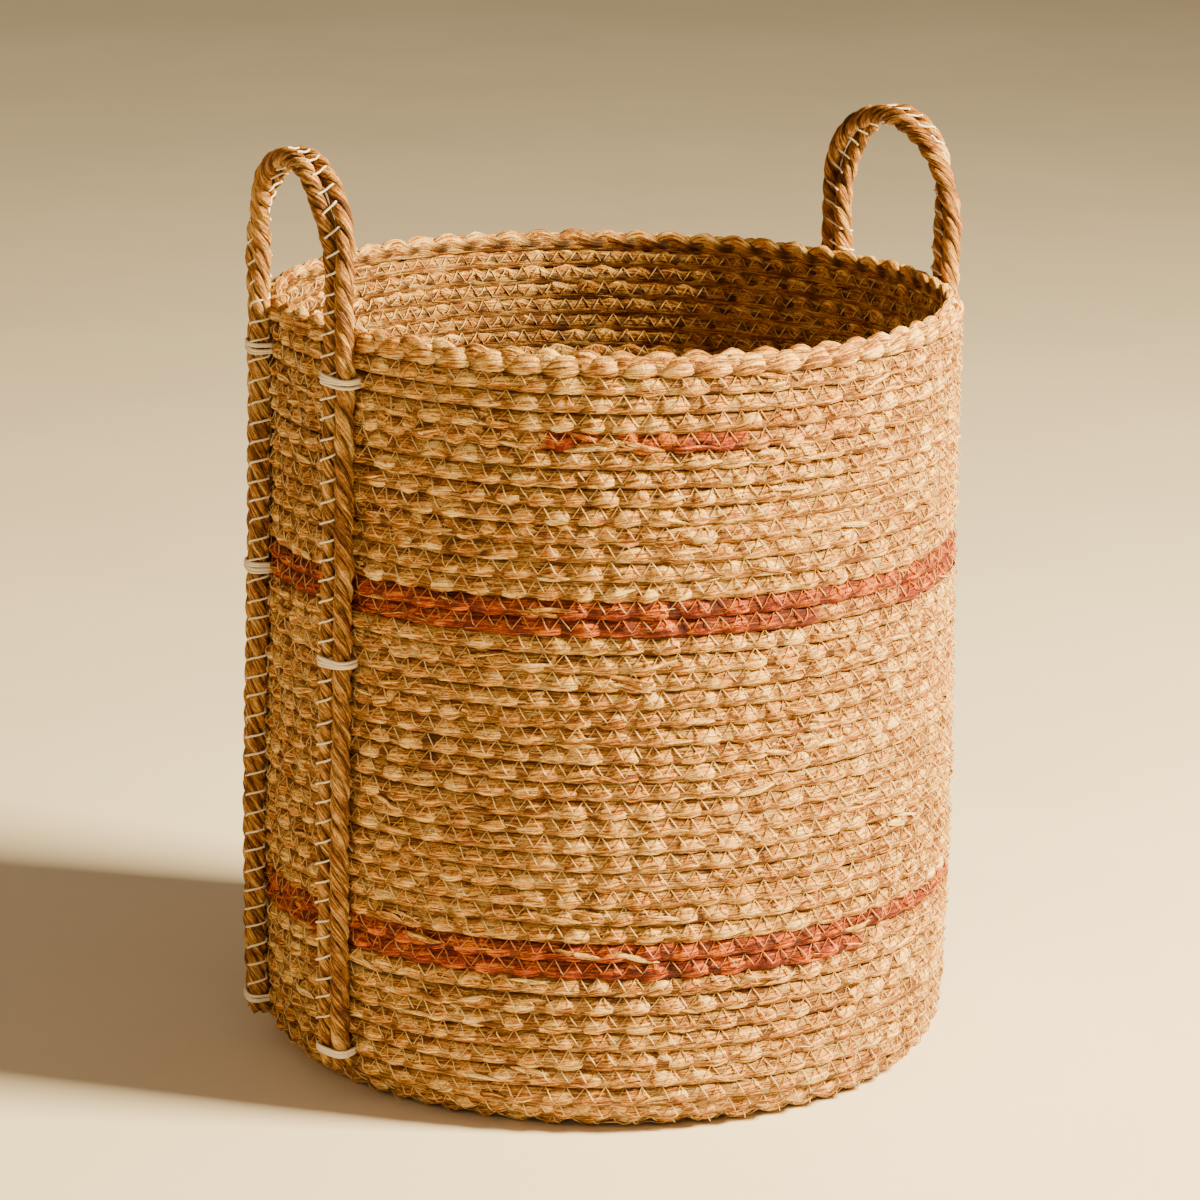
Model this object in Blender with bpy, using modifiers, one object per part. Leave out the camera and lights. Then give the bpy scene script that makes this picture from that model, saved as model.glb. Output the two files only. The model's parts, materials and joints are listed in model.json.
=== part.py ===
"""A round storage basket: one straw rope coiled and stitched from the middle of the base to the rim,
a thicker plait along the rim, and two handles, each a band of two plaits tied down both sides of the wall.

The floor is at Z = 0 and the basket stands round the Z axis. The handles face -X and +X, both set a
little towards +Y of the true diameter, as they were tied by hand.
"""

from math import asin, cos, pi, radians, sin

import bpy
from mathutils import Vector

# Driving dimensions, in metres and degrees.
BODY_RADIUS = 0.180  # outside of the coiled wall
RIM_TOP = 0.398  # floor to the top of the rim plait
ROPE_PITCH = 0.0093  # one course of the coil
ROPE_THICKNESS = 0.0090  # wall thickness, inside to outside
COURSE_GROOVE = 0.0014  # depth of the furrow between two courses
RIM_BRAID_HEIGHT = 0.0100
CORNER_RADIUS = 0.025  # outside radius where the wall turns under into the base
COURSES_OVER_ACCENT = 3  # from the rim plait down to the course with the short dyed length
COURSES_OVER_BAND = 12  # from the rim plait down to the upper dyed band
BAND_COURSES = 2  # each dyed band is two courses high
LOWER_BAND_FLOOR = 0.0826  # floor to the underside of the lower dyed band
PLY_DIAMETER = 0.0100  # one plait of a handle
PLY_GAP = 0.0004  # between the two plaits of a handle
HANDLE_SPREAD = 0.0978  # centre to centre of a handle's two legs
HANDLE_BACK_SET = 3.05  # degrees each handle sits behind the diameter
LOOP_RISE = 0.0745  # bending line of the loop to the middle of its crown
BEND_OVER_RIM = 0.0060  # bending line of the loop above the rim
LEG_END_ARC = 16.0  # degrees of the corner that each leg follows under the wall
SEAM_PITCH = 0.0120  # one full zigzag of the thread that joins two plaits
SEAM_COVER = 0.80  # share of a plait's width that a stitch crosses from the seam
SEAM_THREAD = 0.0009  # diameter of that thread
TIE_THICKNESS = 0.0011
TIE_HEIGHTS = (0.0055, 0.0048, 0.0038)  # top, middle and bottom tie of a leg
TOP_TIE_DROP = 0.0240  # rim down to the top tie
MIDDLE_TIE_HEIGHTS = {"front": 0.2303, "back": 0.2590}  # floor to the middle tie of each leg
BOTTOM_TIE_HEIGHT = 0.0262
CLEARANCE = 0.0003  # gap kept between two pieces that touch

WALL_STEPS = 40  # straight sides in one turn of the wall
LOOP_ARC_STEPS = 14
LOOP_LEG_STEPS = 4
ROUND_END_STEPS = 3

# What follows from them.
RIM_BRAID_BOTTOM = RIM_TOP - RIM_BRAID_HEIGHT
WALL_INSIDE = BODY_RADIUS - ROPE_THICKNESS
PLY_RADIUS = PLY_DIAMETER / 2
PLY_OFFSET = PLY_RADIUS + PLY_GAP / 2  # seam to the middle of a plait
LEG_RADIUS = BODY_RADIUS + CLEARANCE + PLY_RADIUS  # basket's axis to the middle of a leg
HALF_SPREAD = asin(HANDLE_SPREAD / 2 / LEG_RADIUS)
BEND_HEIGHT = RIM_TOP + BEND_OVER_RIM
BEND_RADIUS = LEG_RADIUS * cos(HALF_SPREAD)  # basket's axis to the plane of a loop
LEG_TOP = BEND_HEIGHT - PLY_RADIUS - CLEARANCE
SEAM_REACH = PLY_GAP / 2 + SEAM_COVER * PLY_DIAMETER  # seam to the far end of a stitch
SEAM_LIFT = PLY_RADIUS + CLEARANCE + SEAM_THREAD / 2  # middle of the band to the thread on it

STRAW = (0.62, 0.40, 0.19)
DARK_STRAW = (0.50, 0.29, 0.12)
DYED_STRAW = (0.55, 0.16, 0.04)
COTTON = (0.86, 0.78, 0.66)


def clear_scene():
    for thing in list(bpy.data.objects):
        bpy.data.objects.remove(thing, do_unlink=True)


def make_material(name, colour, roughness):
    material = bpy.data.materials.new(name)
    material.use_nodes = True
    surface = material.node_tree.nodes["Principled BSDF"]
    surface.inputs["Base Color"].default_value = (*colour, 1.0)
    surface.inputs["Roughness"].default_value = roughness
    surface.inputs["Metallic"].default_value = 0.0
    material.diffuse_color = (*colour, 1.0)
    return material


def place(thing, collection, material):
    collection.objects.link(thing)
    thing.data.materials.append(material)
    return thing


def make_ring(name, profile, collection, material, closed=True):
    """Turns a profile of (radius, height) points about the Z axis. It runs down the outer side first."""
    mesh = bpy.data.meshes.new(name)
    points = [(radius, 0.0, height) for radius, height in profile]
    edges = [(i, i + 1) for i in range(len(points) - 1)]
    if closed:
        edges.append((len(points) - 1, 0))
    mesh.from_pydata(points, edges, [])
    ring = place(bpy.data.objects.new(name, mesh), collection, material)
    screw = ring.modifiers.new("Turn", "SCREW")
    screw.axis = "Z"
    screw.steps = WALL_STEPS
    screw.render_steps = WALL_STEPS
    screw.use_merge_vertices = True
    screw.merge_threshold = 0.00001
    screw.use_smooth_shade = True
    return ring


def make_tube(name, path, radius, collection, material, sides=2, radii=None):
    """A round-section tube along a list of points, with its ends closed."""
    curve = bpy.data.curves.new(name, "CURVE")
    curve.dimensions = "3D"
    curve.bevel_depth = radius
    curve.bevel_resolution = sides
    curve.use_fill_caps = True
    spline = curve.splines.new("POLY")
    spline.points.add(len(path) - 1)
    for i, (point, at) in enumerate(zip(spline.points, path)):
        point.co = (*at, 1.0)
        point.radius = radii[i] if radii else 1.0
    spline.use_smooth = True
    return place(bpy.data.objects.new(name, curve), collection, material)


# The coil.


def make_wall(name, top, bottom, collection, material):
    """Courses of the straight wall between two heights, with a furrow between courses."""
    top -= CLEARANCE / 2
    bottom += CLEARANCE / 2
    courses = max(1, round((top - bottom) / ROPE_PITCH))
    pitch = (top - bottom) / courses
    furrow = BODY_RADIUS - COURSE_GROOVE
    profile = [(furrow, top)]
    for course in range(courses):
        profile.append((BODY_RADIUS, top - (course + 0.5) * pitch))
        profile.append((furrow, top - (course + 1) * pitch))
    profile += [(WALL_INSIDE, bottom), (WALL_INSIDE, top)]
    return make_ring(name, profile, collection, material)


def make_corner(collection, material):
    """The courses that turn under the wall, from the straight wall down to the flat base."""
    middle = BODY_RADIUS - CORNER_RADIUS  # radius at which the corner's arc is centred
    inner = max(CORNER_RADIUS - ROPE_THICKNESS, CLEARANCE)
    courses = max(2, round((CORNER_RADIUS + inner) / 2 * pi / 2 / ROPE_PITCH))
    outer_edge = CORNER_RADIUS - COURSE_GROOVE
    start = CLEARANCE / 2 / CORNER_RADIUS
    sweep = pi / 2 - start

    def on_arc(radius, share):
        angle = start + share * sweep
        return middle + radius * cos(angle), CORNER_RADIUS - radius * sin(angle)

    profile = [on_arc(outer_edge, 0.0)]
    for course in range(courses):
        profile.append(on_arc(CORNER_RADIUS, (course + 0.5) / courses))
        profile.append(on_arc(outer_edge, (course + 1) / courses))
    steps = courses + 1
    profile += [on_arc(inner, 1.0 - i / steps) for i in range(steps + 1)]
    return make_ring("corner_coil", profile, collection, material)


def make_base(collection, material):
    edge = BODY_RADIUS - CORNER_RADIUS - CLEARANCE
    chamfer = COURSE_GROOVE
    profile = [
        (0.0, ROPE_THICKNESS),
        (edge - chamfer, ROPE_THICKNESS),
        (edge, ROPE_THICKNESS - chamfer),
        (edge, chamfer),
        (edge - chamfer, 0.0),
        (0.0, 0.0),
    ]
    return make_ring("base_coil", profile, collection, material, closed=False)


def make_rim_braid(collection, material):
    middle_radius = BODY_RADIUS - ROPE_THICKNESS / 2
    middle_height = RIM_BRAID_BOTTOM + RIM_BRAID_HEIGHT / 2
    profile = []
    for i in range(8):
        angle = pi / 8 - i * pi / 4
        reach = 1.0 / cos(pi / 8)
        profile.append(
            (
                middle_radius + ROPE_THICKNESS / 2 * reach * cos(angle),
                middle_height + RIM_BRAID_HEIGHT / 2 * reach * sin(angle),
            )
        )
    return make_ring("rim_braid", profile, collection, material)


# The handles. Each is worked out in its own frame: "out" points away from the basket's axis at the
# handle, and "along" is level and square to it, towards the leg on the front side of the basket.


def handle_directions(angle):
    out = Vector((cos(angle), sin(angle), 0.0))
    along = Vector((-sin(angle), cos(angle), 0.0))
    if along.y > 0:
        along = -along
    return out, along


def leg_angle(angle, leg):
    """Direction of one leg seen from the basket's axis."""
    out, along = handle_directions(angle)
    turn = HALF_SPREAD if along.cross(out).z < 0 else -HALF_SPREAD
    return angle + (turn if leg == "front" else -turn)


def leg_frame(angle, leg):
    """Out and sideways directions at a leg. Sideways points to the plait away from the other leg."""
    turned = leg_angle(angle, leg)
    out = Vector((cos(turned), sin(turned), 0.0))
    side = Vector((-sin(turned), cos(turned), 0.0))
    along = handle_directions(angle)[1]
    outward = along if leg == "front" else -along
    return out, side if side.dot(outward) > 0 else -side


def make_leg_ply(name, angle, leg, side_sign, collection, material):
    """One plait of a leg: straight down the wall, then a short way round the corner."""
    out, side = leg_frame(angle, leg)
    shift = side * (side_sign * PLY_OFFSET)
    path = [shift + out * LEG_RADIUS + Vector((0, 0, LEG_TOP))]
    path.append(shift + out * LEG_RADIUS + Vector((0, 0, CORNER_RADIUS)))
    arc_middle = BODY_RADIUS - CORNER_RADIUS
    arc_radius = LEG_RADIUS - arc_middle
    for i in (1, 2):
        turn = radians(LEG_END_ARC) * i / 2
        path.append(
            shift + out * (arc_middle + arc_radius * cos(turn))
            + Vector((0, 0, CORNER_RADIUS - arc_radius * sin(turn)))
        )
    return make_tube(name, path, PLY_RADIUS, collection, material)


def make_leg_seam(name, angle, leg, collection, material):
    """The zigzag thread on the outer face of a leg, from its top to just over its bottom tie."""
    out, side = leg_frame(angle, leg)
    # Both legs are stitched over the plait that is on the same hand, seen from outside.
    reach = side * (-SEAM_REACH if leg == "front" else SEAM_REACH)
    depth = LEG_RADIUS + SEAM_LIFT
    top = RIM_TOP
    bottom = BOTTOM_TIE_HEIGHT + TIE_HEIGHTS[2] / 2 + CLEARANCE + SEAM_THREAD / 2
    zigzags = int((top - bottom) / SEAM_PITCH)
    path = []
    for i in range(2 * zigzags + 1):
        height = Vector((0, 0, top - i * SEAM_PITCH / 2))
        path.append(out * depth + height + (reach if i % 2 else Vector()))
    return make_tube(name, path, SEAM_THREAD / 2, collection, material, sides=0)


def make_tie(name, angle, leg, height, tie_height, collection, material):
    """A flat arch of cotton turns over both plaits of a leg, its feet on the wall."""
    turned = leg_angle(angle, leg)
    inner_half = PLY_OFFSET + PLY_RADIUS + CLEARANCE
    outer_half = inner_half + TIE_THICKNESS
    inner_rise = PLY_DIAMETER + CLEARANCE + SEAM_THREAD + CLEARANCE
    outer_rise = inner_rise + TIE_THICKNESS
    round_off = inner_half - SEAM_REACH - SEAM_THREAD  # leaves room for the ends of the stitches
    outline = [
        (outer_half, 0.0),
        (outer_half, outer_rise - round_off),
        (outer_half - round_off, outer_rise),
        (-outer_half + round_off, outer_rise),
        (-outer_half, outer_rise - round_off),
        (-outer_half, 0.0),
        (-inner_half, 0.0),
        (-inner_half, inner_rise - round_off),
        (-inner_half + round_off, inner_rise),
        (inner_half - round_off, inner_rise),
        (inner_half, inner_rise - round_off),
        (inner_half, 0.0),
    ]
    curve = bpy.data.curves.new(name, "CURVE")
    curve.dimensions = "2D"
    curve.fill_mode = "BOTH"
    curve.extrude = tie_height / 2
    spline = curve.splines.new("POLY")
    spline.points.add(len(outline) - 1)
    for point, (across, up) in zip(spline.points, outline):
        point.co = (across, up, 0.0, 1.0)
    spline.use_cyclic_u = True
    tie = place(bpy.data.objects.new(name, curve), collection, material)
    # Round the corner of the basket the wall falls back, and the tie follows it.
    drop = max(0.0, CORNER_RADIUS - height)
    setback = CORNER_RADIUS - (CORNER_RADIUS**2 - drop**2) ** 0.5
    foot = BODY_RADIUS + CLEARANCE - setback
    tie.location = (foot * cos(turned), foot * sin(turned), height)
    tie.rotation_euler = (0.0, 0.0, turned - pi / 2)
    return tie


def loop_frames(angle):
    """Points along the middle of a loop from its front end to its back end.

    Each has the direction from the first plait to the second and the direction its stitched face looks.
    The band lies flat to the wall at both ends and turns edge-on to the basket over the crown.
    """
    out, along = handle_directions(angle)
    up = Vector((0.0, 0.0, 1.0))
    half = HANDLE_SPREAD / 2
    straight = LOOP_RISE - half
    length = 2 * straight + pi * half
    base = out * BEND_RADIUS + up * BEND_HEIGHT
    places = []
    for i in range(LOOP_LEG_STEPS):
        rise = straight * i / LOOP_LEG_STEPS
        places.append((rise, base + along * half + up * rise, along))
    for i in range(LOOP_ARC_STEPS + 1):
        turn = pi * i / LOOP_ARC_STEPS
        outward = along * cos(turn) + up * sin(turn)
        places.append((straight + half * turn, base + up * straight + outward * half, outward))
    for i in range(LOOP_LEG_STEPS):
        rise = straight * (1 - (i + 1) / LOOP_LEG_STEPS)
        places.append((length - rise, base - along * half + up * rise, -along))
    frames = []
    for distance, middle, outward in places:
        to_end = min(distance, length - distance)
        share = min(1.0, max(0.0, (to_end - PLY_DIAMETER) / (0.45 * length - PLY_DIAMETER)))
        twist = pi / 2 * share * share * (3 - 2 * share)
        across = outward * cos(twist) - out * sin(twist)
        face = out * cos(twist) + outward * sin(twist)
        frames.append((middle, across, face))
    return frames


def make_loop_ply(name, angle, side_sign, collection, material):
    """One plait of a loop. Its ends are round about the line on which the loop bends over the rim."""
    path = [middle + across * (side_sign * PLY_OFFSET) for middle, across, _ in loop_frames(angle)]
    radii = [1.0] * len(path)
    for end in (0, -1):
        tip = path[end].copy()
        for i in range(1, ROUND_END_STEPS + 1):
            turn = radians(80.0) * i / ROUND_END_STEPS
            at = tip - Vector((0.0, 0.0, PLY_RADIUS * sin(turn)))
            if end == 0:
                path.insert(0, at)
                radii.insert(0, cos(turn))
            else:
                path.append(at)
                radii.append(cos(turn))
    return make_tube(name, path, PLY_RADIUS, collection, material, radii=radii)


def make_loop_seam(name, angle, collection, material):
    """The same zigzag thread, over the loop's upper face."""
    frames = loop_frames(angle)
    lengths = [0.0]
    for before, after in zip(frames, frames[1:]):
        lengths.append(lengths[-1] + (after[0] - before[0]).length)

    def at(distance):
        i = max(k for k in range(len(lengths) - 1) if lengths[k] <= distance)
        share = (distance - lengths[i]) / (lengths[i + 1] - lengths[i])
        return [a.lerp(b, share) for a, b in zip(frames[i], frames[i + 1])]

    margin = PLY_DIAMETER
    half_zigzags = 2 * int((lengths[-1] - 2 * margin) / SEAM_PITCH)
    places = [at(margin + i * SEAM_PITCH / 2) for i in range(half_zigzags + 1)]
    # A straight stitch cuts across the twist of the band, so it is lifted by what it would sink.
    most_twist = max(before[2].angle(after[2]) for before, after in zip(places, places[1:]))
    lift = SEAM_LIFT + CLEARANCE + SEAM_REACH * most_twist / 4
    path = []
    for i, (middle, across, face) in enumerate(places):
        across_by = across * (-SEAM_REACH if i % 2 else 0.0)
        path.append(middle + across_by + face.normalized() * lift)
    return make_tube(name, path, SEAM_THREAD / 2, collection, material, sides=0)


def make_handle(side, angle, collection, materials):
    plait, cotton = materials
    for leg in ("front", "back"):
        for ply, sign in (("inner", -1), ("outer", 1)):
            make_leg_ply(f"{side}_{leg}_leg_{ply}_plait", angle, leg, sign, collection, plait)
        make_leg_seam(f"{side}_{leg}_leg_seam_thread", angle, leg, collection, cotton)
        heights = (RIM_TOP - TOP_TIE_DROP, MIDDLE_TIE_HEIGHTS[leg], BOTTOM_TIE_HEIGHT)
        for tie, height, tie_height in zip(("top", "middle", "bottom"), heights, TIE_HEIGHTS):
            make_tie(f"{side}_{leg}_{tie}_tie", angle, leg, height, tie_height, collection, cotton)
    for ply, sign in (("inner", 1), ("outer", -1)):
        make_loop_ply(f"{side}_loop_{ply}_plait", angle, sign, collection, plait)
    make_loop_seam(f"{side}_loop_seam_thread", angle, collection, cotton)


def main():
    clear_scene()
    collection = bpy.data.collections.new("straw_basket")
    bpy.context.scene.collection.children.link(collection)
    straw = make_material("straw", STRAW, 0.75)
    dyed = make_material("dyed_straw", DYED_STRAW, 0.75)
    plait = make_material("handle_straw", DARK_STRAW, 0.7)
    cotton = make_material("cotton", COTTON, 0.85)

    make_base(collection, straw)
    make_corner(collection, straw)
    accent_top = RIM_BRAID_BOTTOM - COURSES_OVER_ACCENT * ROPE_PITCH
    band_top = RIM_BRAID_BOTTOM - COURSES_OVER_BAND * ROPE_PITCH
    band_height = BAND_COURSES * ROPE_PITCH
    lower_band_top = LOWER_BAND_FLOOR + band_height
    make_wall("top_wall_coil", RIM_BRAID_BOTTOM, accent_top, collection, straw)
    make_wall("accent_course", accent_top, accent_top - ROPE_PITCH, collection, dyed)
    make_wall("upper_wall_coil", accent_top - ROPE_PITCH, band_top, collection, straw)
    make_wall("upper_band_coil", band_top, band_top - band_height, collection, dyed)
    make_wall("middle_wall_coil", band_top - band_height, lower_band_top, collection, straw)
    make_wall("lower_band_coil", lower_band_top, LOWER_BAND_FLOOR, collection, dyed)
    make_wall("lower_wall_coil", LOWER_BAND_FLOOR, CORNER_RADIUS, collection, straw)
    make_rim_braid(collection, straw)

    back_set = radians(HANDLE_BACK_SET)
    make_handle("left", pi - back_set, collection, (plait, cotton))
    make_handle("right", back_set, collection, (plait, cotton))


main()
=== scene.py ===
import json
import math

import bmesh
import bpy
import numpy as np
from mathutils import Matrix, Vector


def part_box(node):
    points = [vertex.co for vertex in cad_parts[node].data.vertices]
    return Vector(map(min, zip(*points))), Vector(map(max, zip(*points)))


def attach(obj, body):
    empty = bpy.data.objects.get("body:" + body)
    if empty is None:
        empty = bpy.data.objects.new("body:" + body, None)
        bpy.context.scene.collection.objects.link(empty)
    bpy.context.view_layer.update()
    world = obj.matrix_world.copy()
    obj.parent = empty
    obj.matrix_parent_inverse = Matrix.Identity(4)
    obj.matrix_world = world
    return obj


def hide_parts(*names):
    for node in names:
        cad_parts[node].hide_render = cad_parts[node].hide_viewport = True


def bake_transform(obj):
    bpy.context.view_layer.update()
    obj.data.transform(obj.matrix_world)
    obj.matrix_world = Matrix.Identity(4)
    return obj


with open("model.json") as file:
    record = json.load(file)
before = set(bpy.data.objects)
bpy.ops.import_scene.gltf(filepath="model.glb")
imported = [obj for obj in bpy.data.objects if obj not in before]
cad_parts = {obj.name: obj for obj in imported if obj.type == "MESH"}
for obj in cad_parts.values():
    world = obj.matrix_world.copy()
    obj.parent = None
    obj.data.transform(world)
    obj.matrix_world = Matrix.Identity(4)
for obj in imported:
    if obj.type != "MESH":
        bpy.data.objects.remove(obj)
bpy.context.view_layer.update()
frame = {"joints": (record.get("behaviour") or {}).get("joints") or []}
pi = math.pi
mm = 0.001


def low(node):
    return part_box(node)[0]


def high(node):
    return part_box(node)[1]


def ease(x):
    x = np.clip(x, 0.0, 1.0)
    return x * x * (3.0 - 2.0 * x)


def unit(rows):
    return rows / np.maximum(np.linalg.norm(rows, axis=-1, keepdims=True), 1e-12)


def dot(a, b):
    return (a * b).sum(axis=-1, keepdims=True)


def lengthAlong(points):
    return np.r_[0, np.cumsum(np.linalg.norm(np.diff(points, axis=0), axis=1))]


# an uneven hand-made wander, mostly between -1 and 1, that closes on itself if it runs round a ring
def wander(seed, shortest, longest, around=None, count=7):
    dice = np.random.default_rng(seed)
    lengths = np.geomspace(shortest, longest, count) * dice.uniform(0.85, 1.15, count)
    if around:
        lengths = around / np.maximum(1, np.round(around / lengths))
    starts = dice.uniform(0, 2 * pi, count)
    sizes = dice.uniform(0.6, 1.0, count)

    def at(s):
        s = np.asarray(s, float)
        waves = sum(
            size * np.sin(2 * pi * s / length + start)
            for size, length, start in zip(sizes, lengths, starts)
        )
        return waves / (1.25 * np.sqrt((sizes**2).sum()))

    return at


# the camera looks a little down at the side with the short dyed length
shot = {
    "bearing": -120.935,  # degrees round the basket
    "distance": 2.6,
    "height": 0.8769,
    "down": 13.911,
    "aside": -0.093,
    "roll": 0.991,
    "lens": 152.96,
}


def setCamera():
    camera = bpy.data.objects.new("camera", bpy.data.cameras.new("camera"))
    bpy.context.scene.collection.objects.link(camera)
    camera.data.lens = shot["lens"]
    camera.data.sensor_width = 36
    camera.data.clip_end = 20
    turn = Matrix.Rotation(math.radians(shot["bearing"] + 90), 3, "Z")
    aside, down, roll = (math.radians(shot[k]) for k in ("aside", "down", "roll"))
    level = Vector((math.sin(aside), math.cos(aside), 0))
    across = Vector((math.cos(aside), -math.sin(aside), 0))
    up = Vector((0, 0, 1))
    ahead = level * math.cos(down) - up * math.sin(down)
    top = level * math.sin(down) + up * math.cos(down)
    right = across * math.cos(roll) + top * math.sin(roll)
    top = top * math.cos(roll) - across * math.sin(roll)
    turned = turn @ Matrix((right, top, -ahead)).transposed()
    place = turn @ Vector((0, -shot["distance"], shot["height"]))
    camera.matrix_world = Matrix.Translation(place) @ turned.to_4x4()
    bpy.context.scene.camera = camera


setCamera()
print("camera set")


# a socket that can stand in a sum
class Wire:
    def __init__(self, finish, socket):
        self.finish, self.socket = finish, socket

    def __add__(self, other):
        return self.finish.sum("ADD", self, other)

    def __sub__(self, other):
        return self.finish.sum("SUBTRACT", self, other)

    def __rsub__(self, other):
        return self.finish.sum("SUBTRACT", other, self)

    def __mul__(self, other):
        return self.finish.sum("MULTIPLY", self, other)

    def size(self):
        return self.finish.sum("ABSOLUTE", self, 0.0)

    __radd__ = __add__
    __rmul__ = __mul__


class Finish:
    def __init__(self, name):
        self.material = bpy.data.materials.new(name)
        self.material.use_nodes = True
        self.tree = self.material.node_tree
        self.tree.nodes.clear()

    # settings are set first, then each socket gets its value or its link
    def node(self, kind, settings, sockets, out=0):
        made = self.tree.nodes.new("ShaderNode" + kind)
        for key, value in settings.items():
            if key == "stops":
                while len(made.color_ramp.elements) < len(value):
                    made.color_ramp.elements.new(0.5)
                for stop, (spot, shade) in zip(made.color_ramp.elements, value):
                    stop.position = spot
                    stop.color = (*shade, 1)
            else:
                setattr(made, key, value)
        for key, value in sockets.items():
            if isinstance(value, Wire):
                self.tree.links.new(value.socket, made.inputs[key])
            elif value is not None:
                made.inputs[key].default_value = value
        return Wire(self, made.outputs[out])

    def sum(self, operation, a, b):
        return self.node("Math", {"operation": operation}, {0: a, 1: b})

    def attribute(self, name, out="Fac"):
        return self.node("Attribute", {"attribute_name": name}, {}, out)

    def stretch(self, vector, by, shift=(0, 0, 0)):
        return self.node("Mapping", {}, {"Vector": vector, "Scale": by, "Location": shift})

    def noise(self, vector, scale, detail=2.0, rough=0.5, warp=0.0):
        sockets = {"Vector": vector, "Scale": scale, "Detail": detail, "Roughness": rough}
        return self.node("TexNoise", {}, {**sockets, "Distortion": warp})

    def ramp(self, factor, stops):
        return self.node("ValToRGB", {"stops": stops}, {"Fac": factor})

    # where a number runs from low to high it runs from 0 to 1
    def span(self, value, lowest, highest):
        sockets = {"Value": value, 1: lowest, 2: highest, 3: 0.0, 4: 1.0}
        return self.node("MapRange", {"clamp": True, "interpolation_type": "SMOOTHSTEP"}, sockets)

    def mix(self, factor, a, b, blend="MIX"):
        settings = {"data_type": "RGBA", "blend_type": blend}
        a, b = (shade if isinstance(shade, Wire) else (*shade, 1) for shade in (a, b))
        return self.node("Mix", settings, {0: factor, 6: a, 7: b}, 2)

    def bump(self, height, strength, distance, under=None):
        sockets = {"Strength": strength, "Distance": distance, "Height": height, "Normal": under}
        return self.node("Bump", {}, sockets)

    def surface(self, colour, roughness, normal, **more):
        sockets = {"Base Color": colour, "Roughness": roughness, "Normal": normal}
        shader = self.node("BsdfPrincipled", {}, {**sockets, **more})
        output = self.tree.nodes.new("ShaderNodeOutputMaterial")
        self.tree.links.new(shader.socket, output.inputs["Surface"])
        return self.material


leaf = {
    "brown": (0.17, 0.060, 0.016),  # stains here and there
    "crack": (0.30, 0.15, 0.06),  # a dark colour laid on fine splits; the painted shade colour below darkens the hollows
    "paintedShade": (0.07, 0.026, 0.008),
    "ribHeight": 1.7 * mm,
    "lineHeight": 0.45 * mm,
}


# dried leaf: fine lines along each strand, pale and brown lengths, rust dye, painted shade in the hollows
def strawFinish(name, shades, dyes):
    f = Finish(name)
    fibre = f.attribute("fibre", "Vector")
    tone = f.attribute("tone")
    dye = f.attribute("dye")
    hollow = f.attribute("hollow")
    lines = f.noise(f.stretch(fibre, (1, 1, 0.075)), 1.8, 3, 0.65)
    ribs = f.noise(f.stretch(fibre, (1, 1, 0.05), (5, 2, 0)), 0.9, 3, 0.6, 0.35)
    creases = f.noise(f.stretch(fibre, (1, 1, 0.9), (1, 8, 3)), 0.62, 3, 0.6, 0.8)
    blots = f.noise(f.stretch(fibre, (1, 1, 0.35), (3, 1, 7)), 0.20, 3, 0.6)
    specks = f.noise(f.stretch(fibre, (1, 1, 0.5), (9, 4, 2)), 0.55, 4, 0.7)
    streaks = f.span(lines, 0.38, 0.62) * 0.40 + f.span(ribs, 0.40, 0.60) * 0.48 - 0.45
    shade = tone + streaks + (blots - 0.5) * 1.3 + (creases - 0.5) * 0.9
    plain = f.ramp(shade, shades)
    gap = f.noise(f.stretch(fibre, (1, 1, 0.06), (2, 6, 1)), 0.75, 2, 0.5, 0.2) - 0.5
    crack = (1 - f.span(gap.size(), 0.006, 0.038)) * f.span(creases, 0.36, 0.50)
    brown = f.span(specks, 0.58, 0.72) * f.span(blots, 0.42, 0.60)
    plain = f.mix(brown * 0.8, plain, leaf["brown"])
    dyed = f.ramp(shade + (blots - 0.5) * 0.4, dyes)
    colour = f.mix(f.span(dye + (lines - 0.5) * 0.35, 0.08, 0.92), plain, dyed)
    colour = f.mix(crack * 0.85, colour, leaf["crack"], "MULTIPLY")
    # painted shade: the colour is darkened in hollows and in grooves between courses and strands
    colour = f.mix(hollow, colour, leaf["paintedShade"], "MULTIPLY")
    rough = 0.46 + lines * 0.34
    relief = f.bump(ribs * 0.75 + creases * 0.6 - crack * 0.25, 1.0, leaf["ribHeight"])
    relief = f.bump(lines, 0.9, leaf["lineHeight"], relief)
    return f.surface(colour, rough, relief, **{"Specular IOR Level": 0.30})


yarn = {"dye": (0.40, 0.085, 0.006), "height": 0.12 * mm}


# twisted thread: slanting plies, a little fluff, and dye where it runs over a dyed course
def threadFinish(name, shades, pliesPerMm):
    f = Finish(name)
    fibre = f.attribute("fibre", "Vector")
    tone = f.attribute("tone")
    bands = {"wave_type": "BANDS", "bands_direction": "DIAGONAL"}
    sockets = {"Vector": fibre, "Scale": pliesPerMm, "Distortion": 1.2, "Detail": 1.0}
    ply = f.node("TexWave", bands, sockets)
    fluff = f.noise(fibre, 2.4, 3, 0.6)
    dye = f.attribute("dye") * 0.92
    colour = f.mix(dye, f.ramp(tone * 0.7 + fluff * 0.3, shades), yarn["dye"])
    relief = f.bump(ply * 0.6 + fluff * 0.5, 0.6, yarn["height"])
    return f.surface(colour, 0.62 + fluff * 0.25, relief, **{"Specular IOR Level": 0.3})


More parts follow.
